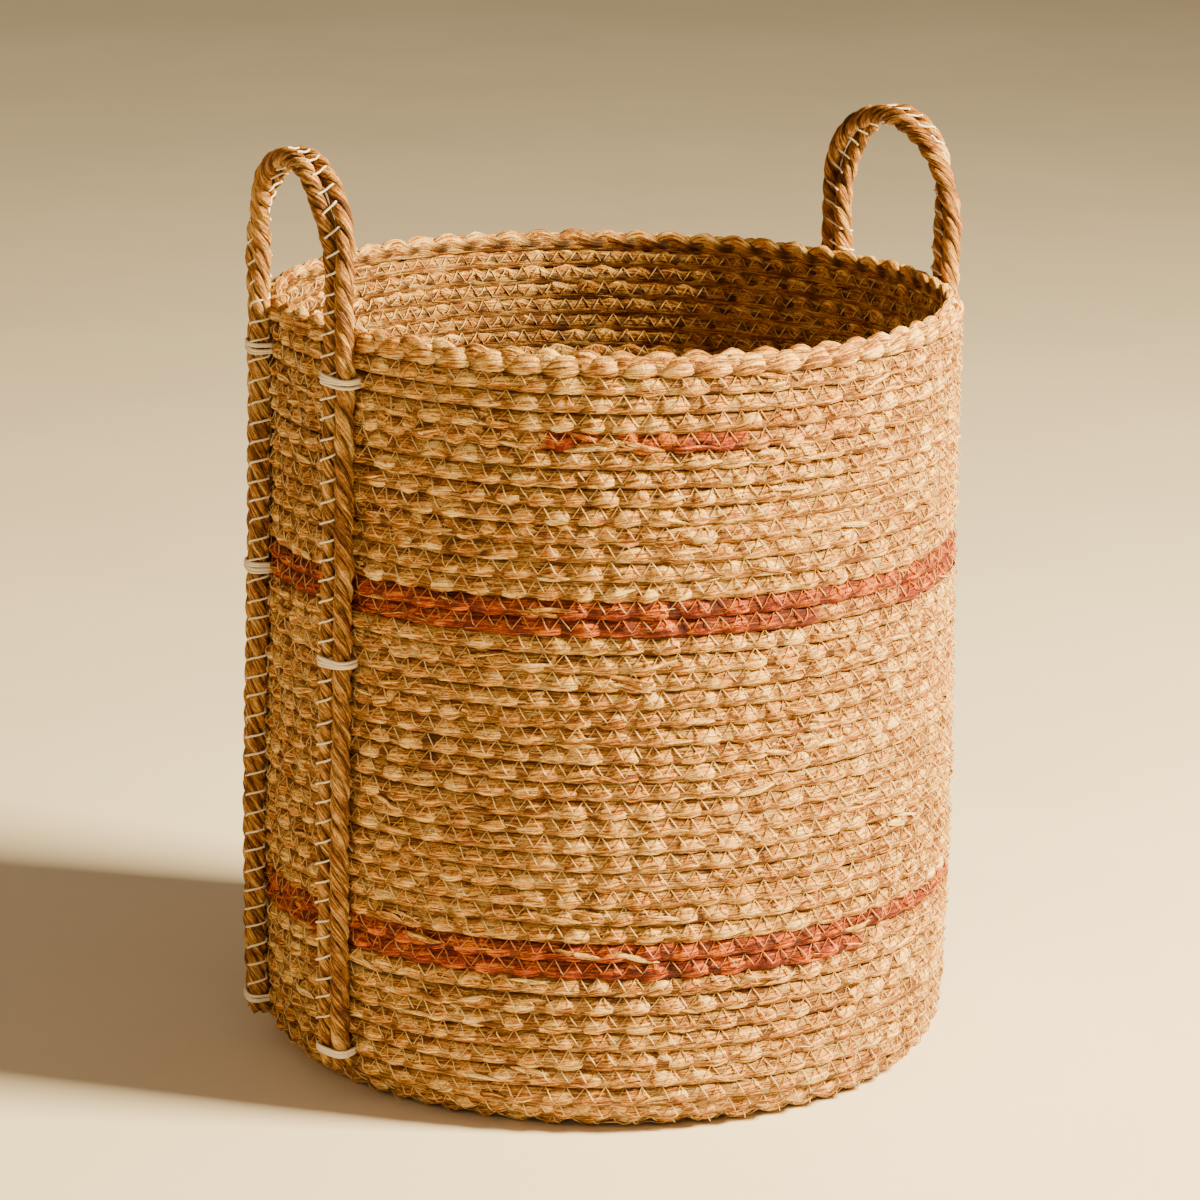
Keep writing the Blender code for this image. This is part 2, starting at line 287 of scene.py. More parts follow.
straw = strawFinish(
    "straw",
    [(0.04, (0.17, 0.055, 0.008)), (0.34, (0.50, 0.205, 0.030)), (0.60, (0.77, 0.41, 0.080)),
     (0.96, (0.98, 0.74, 0.31))],
    [(0.06, (0.09, 0.006, 0.0002)), (0.50, (0.28, 0.026, 0.0002)), (0.98, (0.74, 0.200, 0.0))],
)
handleStraw = strawFinish(
    "handleStraw",
    [(0.02, (0.11, 0.032, 0.005)), (0.36, (0.37, 0.150, 0.023)), (0.62, (0.58, 0.275, 0.052)),
     (0.98, (0.85, 0.57, 0.20))],
    [(0.2, (0.3, 0.04, 0.005)), (0.8, (0.7, 0.2, 0.03))],
)
sewingThread = threadFinish(
    "sewingThread", [(0.25, (0.34, 0.18, 0.050)), (0.5, (0.58, 0.38, 0.140)), (0.8, (0.86, 0.69, 0.38))], 1.6)
cotton = threadFinish(
    "cotton", [(0.2, (0.66, 0.54, 0.40)), (0.5, (0.82, 0.74, 0.60)), (0.85, (0.92, 0.87, 0.76))], 1.1)
print("finishes mixed")


# tubes along lines of points, as thick as each line's half says, with open ends
def tubesOf(name, lines, sides, closed):
    curve = bpy.data.curves.new(name, "CURVE")
    curve.dimensions = "3D"
    curve.bevel_depth = 1.0
    curve.bevel_resolution = (sides - 4) // 2
    for line in lines:
        spline = curve.splines.new("POLY")
        spline.points.add(len(line["points"]) - 1)
        rows = np.column_stack([line["points"], np.ones(len(line["points"]))])
        spline.points.foreach_set("co", rows.ravel())
        spline.points.foreach_set("radius", line["half"])
        spline.use_cyclic_u = closed
    cord = bpy.data.objects.new(name + "_cord", curve)
    bpy.context.scene.collection.objects.link(cord)
    solid = cord.evaluated_get(bpy.context.evaluated_depsgraph_get())
    mesh = bpy.data.meshes.new_from_object(solid)
    bpy.data.objects.remove(cord)
    return mesh


# the way a line faces, turned square to the way it runs, and the way its side lies
def squareUp(points, face, closed):
    if closed:
        along = unit(np.roll(points, -1, 0) - np.roll(points, 1, 0))
    else:
        along = unit(np.gradient(points, axis=0))
    if face is None:
        face = np.tile((0.0, 0.0, 1.0), (len(points), 1)) + 0.01
    face = unit(face - dot(face, along) * along)
    return face, np.cross(along, face)


# a flat strand with soft folds that wander along it
def foldStrand(line, number, s, turn, tall, wide):
    p, q = np.random.default_rng(1000 + number).uniform(0, 2 * pi, 2)
    fold = 0.055 * np.sin(3 * turn + p + line["fold"](s)[:, None] * 3)
    fold = fold + 0.04 * np.sin(2 * turn + q + line["fold"](s + 0.7)[:, None] * 4)
    return tall * line["flat"] * (1 + fold), wide * line["wide"] * (1 + fold)


def closeEnds(mesh, sides):
    work = bmesh.new()
    work.from_mesh(mesh)
    bmesh.ops.holes_fill(work, edges=[e for e in work.edges if e.is_boundary], sides=sides)
    work.to_mesh(mesh)
    work.free()


# each line is a dictionary: its points and half (half its width), and where wanted its face, square,
# flat, wide, fold, length, seed, tone, dye, the painted shade of its hollows, and the middle, out and span of
# the painted shade in its grooves
def layCords(name, lines, sides, material, closed=False):
    mesh = tubesOf(name, lines, sides, closed)
    spots = np.zeros(len(mesh.vertices) * 3)
    mesh.vertices.foreach_get("co", spots)
    spots = spots.reshape(-1, 3)
    fibre = np.zeros((len(spots), 3))
    shades = {key: np.zeros(len(spots)) for key in ("tone", "dye", "hollow")}
    start = 0
    for number, line in enumerate(lines):
        points = np.asarray(line["points"])
        stop = start + len(points) * sides
        arm = spots[start:stop].reshape(-1, sides, 3) - points[:, None]
        face, side = squareUp(points, line.get("face"), closed)
        tall, wide = dot(arm, face[:, None])[..., 0], dot(arm, side[:, None])[..., 0]
        if "square" in line:  # fuller corners than a plain oval
            most = np.asarray(line["half"])[:, None]
            tall, wide = (np.sign(v) * most * np.abs(v / most) ** line["square"] for v in (tall, wide))
        turn = np.arctan2(tall, wide)
        s = line["length"] if "length" in line else lengthAlong(points)
        if "flat" in line:
            tall, wide = foldStrand(line, number, s, turn, tall, wide)
            ring = points[:, None] + tall[..., None] * face[:, None] + wide[..., None] * side[:, None]
            spots[start:stop] = ring.reshape(-1, 3)
        size = np.mean(line["half"]) / mm
        fibre[start:stop, 0] = (size * np.cos(turn)).ravel() + 40.0 * line.get("seed", number)
        fibre[start:stop, 1] = (size * np.sin(turn)).ravel()
        fibre[start:stop, 2] = np.repeat(s / mm, sides)
        for key, values in shades.items():
            if key in line:
                values[start:stop] = np.repeat(line[key], sides)
        if "middle" in line:  # painted shade: deep between two courses or strands the colour is darkened
            away = spots[start:stop].reshape(-1, sides, 3) - line["middle"][:, None]
            if "out" in line:
                away = np.abs(dot(away, line["out"][:, None])[..., 0])
            else:
                away = np.linalg.norm(away, axis=-1)
            shadowed, unshaded = line["shadeSpan"]
            deep = ease((unshaded - away.ravel()) / (unshaded - shadowed))
            shades["hollow"][start:stop] = np.maximum(shades["hollow"][start:stop], deep)
        start = stop
    mesh.vertices.foreach_set("co", spots.ravel())
    layer = mesh.attributes.new("fibre", "FLOAT_VECTOR", "POINT")
    layer.data.foreach_set("vector", fibre.ravel())
    for key, values in shades.items():
        mesh.attributes.new(key, "FLOAT", "POINT").data.foreach_set("value", values)
    if not closed:
        closeEnds(mesh, sides)
    mesh.shade_smooth()
    mesh.materials.clear()
    mesh.materials.append(material)
    piece = bpy.data.objects.new(name, mesh)
    bpy.context.scene.collection.objects.link(piece)
    return piece


# the coil is one plaited rope, wound from under the rim down the wall to the middle of the base
coil = {
    "start": 150.0,  # degrees round the basket where the rope begins, out of sight
    "levelTurns": 12.0,  # courses over which the slope of the coil dies out towards the level rim
    "stepShare": 0.03,
    "swell": 2.3 * mm,  # the wall stands out a little low down
    "swellHeight": 0.125,
    "swellSpread": 0.11,
    "segment": 2.75 * mm,
    "lobe": 16.5 * mm,
    "across": 2.10 * mm,
    "depth": 2.0 * mm,
    "strand": 2.75 * mm,
    "full": 0.36,  # how much a strand thickens where it lies on top
    "roll": (46, 22),  # degrees that the plait is turned on its own middle, and how far that wanders
    "coreTall": 4.85 * mm,
    "coreThick": 3.3 * mm,
    "strandShadeSpan": (0, 2.8 * mm),  # painted shade, full at the first distance from the middle and gone at the second
    "coreShadeSpan": (0, 2.2 * mm),
    "sunk": -1.5 * mm,  # as far in as a stitch goes where it meets no strand
}

ropeThick = high("base_coil").z
wallMiddle = high("upper_wall_coil").x - ropeThick / 2
cornerMiddle = high("base_coil").x + 0.3 * mm
cornerHeight = high("corner_coil").z
cornerArc = wallMiddle - cornerMiddle
marks = [0, 3, 4, 12, 14, 31, 33, 39]  # courses down from the rim to each of the heights
heights = [low("rim_braid").z, high("accent_course").z, low("accent_course").z, high("upper_band_coil").z,
           low("upper_band_coil").z, high("lower_band_coil").z, low("lower_band_coil").z, cornerHeight]
pitch = (heights[0] - heights[4]) / marks[4]
cornerEnd = marks[-1] + cornerArc * pi / 2 / pitch
lastCourse = cornerEnd + (cornerMiddle - pitch * 0.02) / pitch
frontShare = (coil["start"] - shot["bearing"]) / 360


def swell(z):
    bulge = np.exp(-(((z - coil["swellHeight"]) / coil["swellSpread"]) ** 2))
    return coil["swell"] * bulge * ease((z - 0.002) / 0.05)


# a place in the wall, corner or base, counted in courses down from the rim plait
def courseSpot(course):
    z = np.interp(course, marks, heights)
    tilt = np.clip((course - marks[-1]) * pitch / cornerArc, 0, pi / 2)
    inward = np.maximum(0, course - cornerEnd) * pitch
    below = course > marks[-1]
    z = np.where(below, cornerHeight - cornerArc * np.sin(tilt), z)
    radius = np.where(below, cornerMiddle + cornerArc * np.cos(tilt) - inward, wallMiddle)
    return radius + swell(z) * np.cos(tilt), z, tilt


# the rope's own middle after so many turns: level under the rim, then a true coil
def coilCourse(turn):
    share, width = turn % 1.0, coil["stepShare"]
    ramp = np.where(share < 1 - width, share / (1 - width), 1 - ease((share - 1 + width) / width))
    level = np.clip(1 - turn / coil["levelTurns"], 0, 1)
    return np.where(turn < 0, 0.5, turn + 0.5 - frontShare - (ramp - frontShare) * level)


# a spot so far out from the wall's middle and so far up from the course's, with those directions
def spotOn(turn, course, lift, rise=0.0):
    radius, z, tilt = courseSpot(course)
    angle = math.radians(coil["start"]) - 2 * pi * turn
    spin = np.stack([np.cos(angle), np.sin(angle), np.zeros_like(angle)], -1)
    up = np.array([0.0, 0.0, 1.0])
    out = spin * np.cos(tilt)[:, None] - up * np.sin(tilt)[:, None]
    over = spin * np.sin(tilt)[:, None] + up * np.cos(tilt)[:, None]
    middle = spin * radius[:, None] + up * z[:, None]
    return middle + out * np.reshape(lift, (-1, 1)) + over * np.reshape(rise, (-1, 1)), out, over


allTurns = lastCourse - 0.5 + frontShare
fine = np.linspace(-coil["stepShare"], allTurns, 90000)
fineLength = lengthAlong(spotOn(fine, coilCourse(fine), np.zeros_like(fine))[0])
ropeLength = np.arange(0, fineLength[-1], coil["segment"])
ropeTurn = np.interp(ropeLength, fineLength, fine)
print(f"rope {fineLength[-1]:.1f} m in {allTurns:.1f} turns")


# how far round its pattern each point of a cord is, where three strands make three lobes a turn
def phaseOf(length, lobe):
    return 2 * pi * np.r_[0, np.cumsum(np.diff(length) / (3 * 0.5 * (lobe[1:] + lobe[:-1])))]


# a three-strand plait: each strand's rise, lift and half width about the middle of the plait
def plait(length, lobe, across, depth, strand, full, roll, seed, around=None):
    phase = phaseOf(length, np.broadcast_to(lobe, length.shape))
    if around:
        phase = phase * round(around / (3 * lobe)) * 2 * pi / (phase[-1] * (1 + 1 / (len(phase) - 1)))
    strands = []
    for k in range(3):
        turn = 2 * pi * k / 3 - phase
        wide = across * (1 + 0.10 * wander(seed + 10 + k, 0.02, 0.4, around)(length))
        deep = -np.sin(2 * turn)
        a, n = wide * 1.08 * (np.sin(turn) + 0.12 * np.sin(3 * turn)), depth * deep
        half = strand * (1 + full * deep + 0.08 * wander(seed + 20 + k, 0.012, 0.3, around)(length))
        strands.append({
            "rise": a * np.cos(roll) + n * np.sin(roll),
            "lift": n * np.cos(roll) - a * np.sin(roll),
            "half": half,
            "deep": deep,
        })
    return strands


# a three-strand twist, told in the same way, fuller on its face than at its sides
def twist(length, lobe, radius, strand, seed):
    phase = phaseOf(length, lobe)
    strands = []
    for k in range(3):
        turn = 2 * pi * k / 3 - phase
        swollen = -0.16 * np.cos(2 * turn)
        strands.append({
            "rise": radius * np.cos(turn),
            "lift": radius * np.sin(turn),
            "half": strand * (1 + swollen + 0.07 * wander(seed + 20 + k, 0.012, 0.3)(length)),
            "deep": np.full(len(turn), 0.12),
        })
    return strands


# how far out one strand reaches at some height on it, or the value given where it isn't there
def strandReach(strand, where, spot, rise, side, nothing):
    middle, lift, half = (np.interp(spot, where, strand[k]) for k in ("rise", "lift", "half"))
    room = half**2 - (rise - middle) ** 2
    return np.where(room > 0, side * lift + np.sqrt(np.maximum(room, 0)), nothing)


# how far out the rope reaches at some height on it, on the outer side or the inner
def reachOf(strands, where, spot, rise, side=1):
    onCore = np.abs(rise) < 0.99 * coil["coreTall"]
    share = np.clip(rise / coil["coreTall"], -0.99, 0.99)
    best = np.where(onCore, coil["coreThick"] * np.sqrt(1 - share**8), coil["sunk"])
    for strand in strands:
        best = np.maximum(best, strandReach(strand, where, spot, rise, side, coil["sunk"]))
    return best


# one strand as a line for layCords, tinted a little differently from its neighbours
def rowOf(spots, face, strand, k, seed, length, part, dye, **more):
    tone = 0.5 + 0.17 * wander(seed + 30 + k, 0.05, 0.9)(length)
    tone = tone + 0.15 * wander(seed + 40 + k, 0.012, 0.05)(length)
    return {
        **more,
        "points": spots[part], "half": strand["half"][part], "face": face[part],
        "flat": 0.70, "wide": 1.24, "fold": wander(seed + 50 + k, 0.008, 0.06),
        "length": length[part], "seed": seed + k, "tone": tone[part], "dye": dye[part],
        # painted shade: a strand is darker where it dives under the others
        "hollow": np.clip(0.10 - 0.85 * strand["deep"], 0, 1)[part],
    }


ropeRoll = np.radians(coil["roll"][0] + coil["roll"][1] * wander(1, 0.5, 4.0)(ropeLength))
plaited = 0.5 + 0.5 * np.clip(wander(2, 0.25, 2.0)(ropeLength) * 1.6, -1, 1)  # 0 flat, 1 well plaited
ropeLobe = coil["lobe"] * (1 + 0.16 * wander(3, 0.3, 2.5)(ropeLength) + 0.25 * (1 - plaited))
ropeStrands = plait(
    ropeLength, ropeLobe, coil["across"], coil["depth"] * (0.66 + 0.40 * plaited), coil["strand"],
    coil["full"], ropeRoll, 100)
slack = 0.30 * mm * wander(5, 0.08, 1.5)(ropeLength)
bob = 0.28 * mm * wander(6, 0.10, 1.7)(ropeLength)
thinStart = 0.25 + 0.75 * ease(ropeLength / 0.03)
for strand in ropeStrands:
    strand["lift"], strand["rise"] = strand["lift"] + slack, strand["rise"] + bob
    strand["half"] = strand["half"] * thinStart

# dyed lengths: the course, where each begins and ends in degrees to the right of the front, how
# strong the dye is and over how many degrees it fades
dyePatches = [
    (3, -10.2, -1.6, 1.0, 1.0), (3, 1.1, 22.4, 1.0, 1.0), (3, 22.0, 47.0, 0.42, 9.0),
    (2, 14.6, 44.4, 0.34, 9.0), (12, -181, 62, 1.0, 3.0), (12, 62, 181, 0.94, 8.0),
    (13, -181, 36, 1.0, 3.0), (13, 36, 54, 0.55, 5.0), (13, 54, 100, 0.92, 5.0),
    (13, 100, 181, 0.95, 6.0), (31, -181, 181, 1.0, 2.0), (32, -181, 47, 1.0, 4.0),
    (32, 47, 80, 0.35, 6.0), (32, 80, 181, 0.9, 8.0), (33, 12, 17, 0.5, 2.0),
    (20, 30, 33, 0.4, 1.5), (9, 52, 58, 0.45, 2.0), (25, -24, -19, 0.35, 2.0),
]


def dyeOf(turn):
    side = (coil["start"] - 360 * turn - shot["bearing"] + 180) % 360 - 180
    course = np.floor(turn)
    dye = np.zeros_like(turn)
    for number, first, last, much, soft in dyePatches:
        inside = ease((side - first) / soft + 0.5) * ease((last - side) / soft + 0.5)
        dye = np.maximum(dye, np.where(course == number, inside * much, 0))
    return dye


ropeDye = dyeOf(ropeTurn) * (0.93 + 0.1 * wander(7, 0.03, 0.3)(ropeLength))
ropeCourse = coilCourse(ropeTurn)
ropeLean = 0.35 * ropeRoll[:, None]
ropeSpots = []
for strand in ropeStrands:
    spots, ropeOut, over = spotOn(ropeTurn, ropeCourse, strand["lift"], strand["rise"])
    spots[:, 2] = np.maximum(spots[:, 2], strand["half"] * 0.9)  # the base presses flat on the floor
    ropeSpots.append((spots, ropeOut * np.cos(ropeLean) + over * np.sin(ropeLean)))
ropeMiddle = spotOn(ropeTurn, ropeCourse, 0 * ropeTurn)[0]
coreSpots = spotOn(ropeTurn, ropeCourse, slack, bob)[0]
coreTone = 0.46 + 0.16 * wander(61, 0.03, 0.5)(ropeLength) + 0.10 * wander(62, 0.012, 0.05)(ropeLength)

# each length of rope, the turns where it begins and ends, and the ring of courses it stands for
coilPieces = [
    ("top_wall_rope", -1, 3, "top_wall_coil"), ("accent_rope", 3, 4, "accent_course"),
    ("upper_wall_rope", 4, 12, "upper_wall_coil"), ("upper_band_rope", 12, 14, "upper_band_coil"),
    ("middle_wall_rope_1", 14, 20, "middle_wall_coil"), ("middle_wall_rope_2", 20, 26, "middle_wall_coil"),
    ("middle_wall_rope_3", 26, 31, "middle_wall_coil"), ("lower_band_rope", 31, 33, "lower_band_coil"),
    ("lower_wall_rope", 33, 39, "lower_wall_coil"), ("corner_rope", 39, 43, "corner_coil"),
    ("base_rope", 43, 99, "base_coil"),
]


def makeRope():
    for name, first, last, node in coilPieces:
        part = np.flatnonzero((ropeTurn >= first - 1e-9) & (ropeTurn <= last + 0.0026))
        wall = {"middle": ropeMiddle[part], "out": ropeOut[part], "shadeSpan": coil["strandShadeSpan"]}
        rows = [
            rowOf(*ropeSpots[k], ropeStrands[k], k, 100, ropeLength, part, ropeDye, **wall)
            for k in range(3)
        ]
        few = np.unique(np.r_[part[::3], part[-1]])
        rows.append({  # the bundle of straw that the three strands are plaited over
            "points": coreSpots[few], "half": coil["coreTall"] * thinStart[few], "face": ropeOut[few],
            "flat": coil["coreThick"] / coil["coreTall"], "wide": 1.0, "square": 0.5,
            "fold": wander(60, 0.02, 0.2), "length": ropeLength[few], "seed": 107,
            # painted shade: the core is darker all over, as it lies recessed behind the strands
            "tone": coreTone[few], "dye": ropeDye[few], "hollow": np.full(len(few), 0.42),
            "middle": ropeMiddle[few], "out": ropeOut[few], "shadeSpan": coil["coreShadeSpan"],
        })
        piece = layCords(name, rows, 8, straw)
        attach(piece, "basket")
        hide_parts(node)
    print("coil laid")


makeRope()
# the thicker plait that is sewn along the top of the wall
rim = {
    "lobe": 18.6 * mm,
    "across": 2.0 * mm,
    "depth": 1.8 * mm,
    "strand": 3.35 * mm,
    "full": 0.33,
    "roll": 56.0,
    "segment": 2.3 * mm,
}
rimHeight = (low("rim_braid").z + high("rim_braid").z) / 2
rimAround = 2 * pi * wallMiddle


def makeRim():
    count = round(rimAround / rim["segment"])
    length = np.arange(count) * rimAround / count
    angle = -length / wallMiddle
    roll = np.radians(rim["roll"] + 8 * wander(201, 0.1, 0.6, rimAround)(length))
    strands = plait(
        length, rim["lobe"], rim["across"], rim["depth"], rim["strand"], rim["full"], roll, 200,
        rimAround)
    spin = np.stack([np.cos(angle), np.sin(angle), np.zeros(count)], -1)
    up = np.array([0.0, 0.0, 1.0])
    rows = []
    for k, strand in enumerate(strands):
        lift = strand["lift"] + 0.35 * mm * wander(203, 0.1, 1.0, rimAround)(length)
        rise = strand["rise"] + 0.35 * mm * wander(204, 0.1, 1.0, rimAround)(length)
        spots = spin * (wallMiddle + lift)[:, None] + up * (rimHeight + rise)[:, None]
        face = spin * np.cos(0.42 * roll)[:, None] + up * np.sin(0.42 * roll)[:, None]
        row = rowOf(spots, face, strand, k, 200, length, slice(None), np.zeros(count))
        row["tone"] = row["tone"] + 0.04
        row["fold"] = wander(250 + k, 0.01, 0.06, rimAround)
        rows.append(row)
    tall = (high("rim_braid").z - low("rim_braid").z) / 2 - 0.3 * mm
    rows.append({
        "points": spin * wallMiddle + up * rimHeight, "half": np.full(count, tall), "face": spin,
        "flat": 0.66, "wide": 1.0, "square": 0.6, "fold": wander(260, 0.02, 0.2, rimAround), "length": length,
        # painted shade: the rim's core is darker all over, as it lies recessed behind the strands
        "seed": 207, "tone": np.full(count, 0.45), "hollow": np.full(count, 0.35),
    })
    piece = layCords("rim_plait", rows, 10, straw, closed=True)
    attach(piece, "basket")
    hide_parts("rim_braid")
    print("rim plaited")


makeRim()

# zigzag machine stitches join each course to the one over it, from a hole just over the joint to one
# in the middle of the lower course
stitch = {
    "pitch": 9.5 * mm,
    "thread": 0.34 * mm,
    "top": 0.58,  # courses up to the upper hole, and to the lower one
    "bottom": -0.15,
    "sink": (0.15 * mm, 0.55 * mm),  # how far the thread dips into each of them
    "onRim": 2.6 * mm,  # how far out it runs on the rim plait
    "legPoints": 4,
    "insidePoints": 3,
}


def stitchRow(first, last, side, seed, legPoints):
    dice = np.random.default_rng(seed)
    ring = np.interp([first, last], fine, fineLength)
    count = int((ring[1] - ring[0]) / (stitch["pitch"] / 2))
    s = ring[0] + (np.arange(count) + dice.uniform(-0.10, 0.10, count)) * (ring[1] - ring[0]) / count
    s = s + 1.6 * mm * wander(seed, 0.1, 1.1)(s)
    lower = np.interp(s, fineLength, fine)
    top = np.arange(count) % 2 == 0
    holes = np.where(top, stitch["top"], stitch["bottom"]) + dice.uniform(-0.07, 0.07, count)
    share = np.linspace(0, 1, legPoints + 1)[:-1]

    def alongLegs(values):
        return np.r_[(values[:-1, None] * (1 - share) + values[1:, None] * share).ravel(), values[-1]]

    def onLegs(values):
        return np.repeat(values, legPoints)[: (count - 1) * legPoints + 1]

    place, over = alongLegs(lower), alongLegs(holes)
    course = coilCourse(place)
    rise = over * pitch
    under = reachOf(ropeStrands, ropeTurn, place, rise, side)
    above = reachOf(ropeStrands, ropeTurn, place - 1, rise - pitch, side)
    above = np.where(place < 1, np.where(rise > 0.42 * pitch, stitch["onRim"], coil["sunk"]), above)
    ground = np.maximum(under, above)
    dips = ground[::legPoints] - np.where(top, *stitch["sink"])
    rising = onLegs(~top)  # these legs lie proud, the others sink in
    lift = np.maximum(ground + stitch["thread"] * np.where(rising, 0.75, 0.1), alongLegs(dips))
    lift[::legPoints] = dips
    spots = spotOn(place, course - over, side * lift)[0]
    spots[:, 2] = np.maximum(spots[:, 2], stitch["thread"])
    # painted highlight: the rising legs get a lighter tone than the others
    tone = onLegs(dice.uniform(0.1, 0.6, count) + np.where(top, 0, 0.4))
    half = stitch["thread"] * np.where(rising, 1.0, 0.8)
    dye = dyeOf(place) * onLegs(dice.uniform(0.4, 1.0, count))
    return {"points": spots, "half": half, "tone": tone, "seed": seed, "dye": dye}


# each run of stitches, the turns where it begins and ends, and 1 outside or -1 inside
stitchPieces = [
    ("stitches_upper", 0, 12, 1), ("stitches_middle", 12, 24, 1), ("stitches_lower", 24, 34, 1),
    ("stitches_corner", 34, 43, 1), ("stitches_base", 43, 99, 1),
    ("inside_stitches_upper", 0, 16, -1), ("inside_stitches_lower", 16, 34, -1),
    ("inside_stitches_base", 34, 99, -1),
]


def sewCourses():
    for number, (name, first, last, side) in enumerate(stitchPieces):
        legPoints = stitch["legPoints"] if side > 0 and first < 34 else stitch["insidePoints"]
        row = stitchRow(first, min(last, allTurns - 0.3), side, 300 + number, legPoints)
        piece = layCords(name, [row], 4, sewingThread)
        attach(piece, "basket")
    print("courses sewn")


sewCourses()

# a handle is a band of two plies, up one side of the wall, round a loop and down the other side
handle = {
    "halfSpread": 48.9 * mm,
    "plyOffset": 4.85 * mm,
    "plyHalf": 5.0 * mm,
    "underArc": 12.0,  # degrees of the corner that each leg follows under the wall
    "lobe": 12.4 * mm,
    "radius": 2.6 * mm,
    "strand": 2.7 * mm,
    "flat": 0.86,
    "wide": 1.10,
    # painted shade near the middle of each ply: full at the first distance, gone at the second
    "shadeSpan": (3.0 * mm, 5.0 * mm),
    "segment": 2.3 * mm,
    "crownDrop": 0.8 * mm,
    "turnOut": (0.388, 0.045),  # from this height, over this much, the legs face straight out
    "quarterBy": 0.45,  # share of the loop by which the band has made its quarter turn
}


# the middle of the band from the foot of one leg to the crown, with its across and face directions
def halfHandle(out, along, bendRadius, bendHeight, crownHeight):
    half = handle["halfSpread"]
    legRadius = math.hypot(bendRadius, half)
    lean = math.asin(half / legRadius)
    under = np.radians(np.linspace(handle["underArc"], 0, 8))
    wall = np.arange(cornerHeight, bendHeight, mm)[1:]
    z = np.r_[cornerHeight - (legRadius - cornerMiddle) * np.sin(under), wall]
    tucked = cornerMiddle + (legRadius - cornerMiddle) * np.cos(under)
    radius = np.r_[tucked, np.full(len(wall), legRadius)] + swell(z)
    up = np.array([0.0, 0.0, 1.0])
    legOut = out * math.cos(lean) + along * math.sin(lean)
    spots = legOut * radius[:, None] + up * z[:, None]
    straight = crownHeight - bendHeight - half
    rise = np.arange(0, straight, mm)
    base = out * bendRadius + up * bendHeight
    spots = np.vstack([spots, base + along * half + up * rise[:, None]])
    outward = np.tile(along, (len(spots), 1))
    turn = np.linspace(0, pi / 2, 80)[:, None]
    arc = along * np.cos(turn) + up * np.sin(turn)
    spots = np.vstack([spots, base + up * straight + arc * half])
    outward = np.vstack([outward, arc])
    length = lengthAlong(spots)
    toBend = length - np.interp(bendHeight, spots[: len(z), 2], length[: len(z)])
    whole = 2 * straight + pi * half
    flat = 2 * handle["plyHalf"]
    quarter = pi / 2 * ease((toBend - flat) / (handle["quarterBy"] * whole - flat))[:, None]
    height, spread = handle["turnOut"]
    yaw = (lean * (1 - ease((spots[:, 2] - height) / spread)))[:, None]
    outs = out * np.cos(yaw) + outward * np.sin(yaw)
    outward = outward * np.cos(yaw) - out * np.sin(yaw)
    across = outward * np.cos(quarter) - outs * np.sin(quarter)
    return spots, across, outs * np.cos(quarter) + outward * np.sin(quarter)


def handleBand(side):
    joint = next(j for j in frame["joints"] if j["name"] == side + "_handle_fold")
    pivot = np.array(joint["pos_m"])
    bendRadius = math.hypot(pivot[0], pivot[1])
    out = pivot * (1, 1, 0) / bendRadius
    along = np.array([-out[1], out[0], 0.0])
    along = along if along[1] < 0 else -along
    crown = high(side + "_loop_outer_plait").z - handle["plyHalf"] - handle["crownDrop"]
    front, back = (halfHandle(out, way, bendRadius, pivot[2], crown) for way in (along, -along))
    whole = [np.vstack([a, b[-2::-1]]) for a, b in zip(front, back)]
    length = lengthAlong(whole[0])
    even = np.linspace(0, length[-1], round(length[-1] / handle["segment"]))
    spots, across, face = (
        np.stack([np.interp(even, length, rows[:, i]) for i in range(3)], 1) for rows in whole)
    ahead = unit(np.gradient(spots, axis=0))
    face = unit(face - dot(face, ahead) * ahead)
    across = unit(across - dot(across, ahead) * ahead - dot(across, face) * face)
    over = np.cross(face, ahead)
    return {"spots": spots, "across": across, "face": face, "over": over, "length": even, "pivot": pivot}


# a loop bends between these two heights, just over the rim
# bakes a piece's placing into its mesh
def bendAt(piece):
    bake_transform(piece)


# each ply with its side of the band; the one that is outer on the legs is inner in the loop
plyPieces = [
    ("a", 1, ("front_leg_outer", "back_leg_outer", "loop_inner")),
    ("b", -1, ("front_leg_inner", "back_leg_inner", "loop_outer")),
]


def makePlies(side, band, seed):
    plies = {}
    length = band["length"]
    for letter, ply, nodes in plyPieces:
        own = seed + 10 * ply
        lobe = handle["lobe"] * (1 + 0.10 * wander(own + 2, 0.1, 0.7)(length))
        strands = twist(length, lobe, handle["radius"], handle["strand"], own)
        drift = 0.3 * mm * wander(own + 3, 0.05, 0.4)(length)
        middle = band["spots"] + band["across"] * (ply * handle["plyOffset"] + drift)[:, None]
        # painted shade: strands are darkened near the middle of their ply, between the strands
        shadowed = {"middle": middle, "shadeSpan": handle["shadeSpan"]}
        rows = []
        for k, strand in enumerate(strands):
            arm = band["over"] * strand["rise"][:, None] + band["face"] * strand["lift"][:, None]
            row = rowOf(middle + arm, unit(arm), strand, k, own, length, slice(None), 0 * length)
            rows.append({**row, **shadowed, "flat": handle["flat"], "wide": handle["wide"]})
        piece = layCords(f"{side}_handle_plait_{letter}", rows, 10, handleStraw)
        bendAt(piece)
        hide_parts(*(f"{side}_{node}_plait" for node in nodes))
        plies[ply] = strands
    return plies


# a thick thread laces the two plies together, slanting over the face and straight back behind
whip = {
    "pitch": 10.4 * mm,
    "slant": 5.2 * mm,
    "thread": 0.6 * mm,
    "points": 12,
    "reach": 5.3 * mm,
    "narrower": 0.7 * mm,  # how much less it reaches on the loop
    "aside": -4.2 * mm,  # up the wall it holds the inner ply, on the loop it bridges the two
    "least": 4.0 * mm,  # it never runs nearer the middle of the band than this
    "foot": 0.030,  # the height of its lowest turn
    "loop": (0.39, 0.05),  # from this height, over this much, it changes from one to the other
}


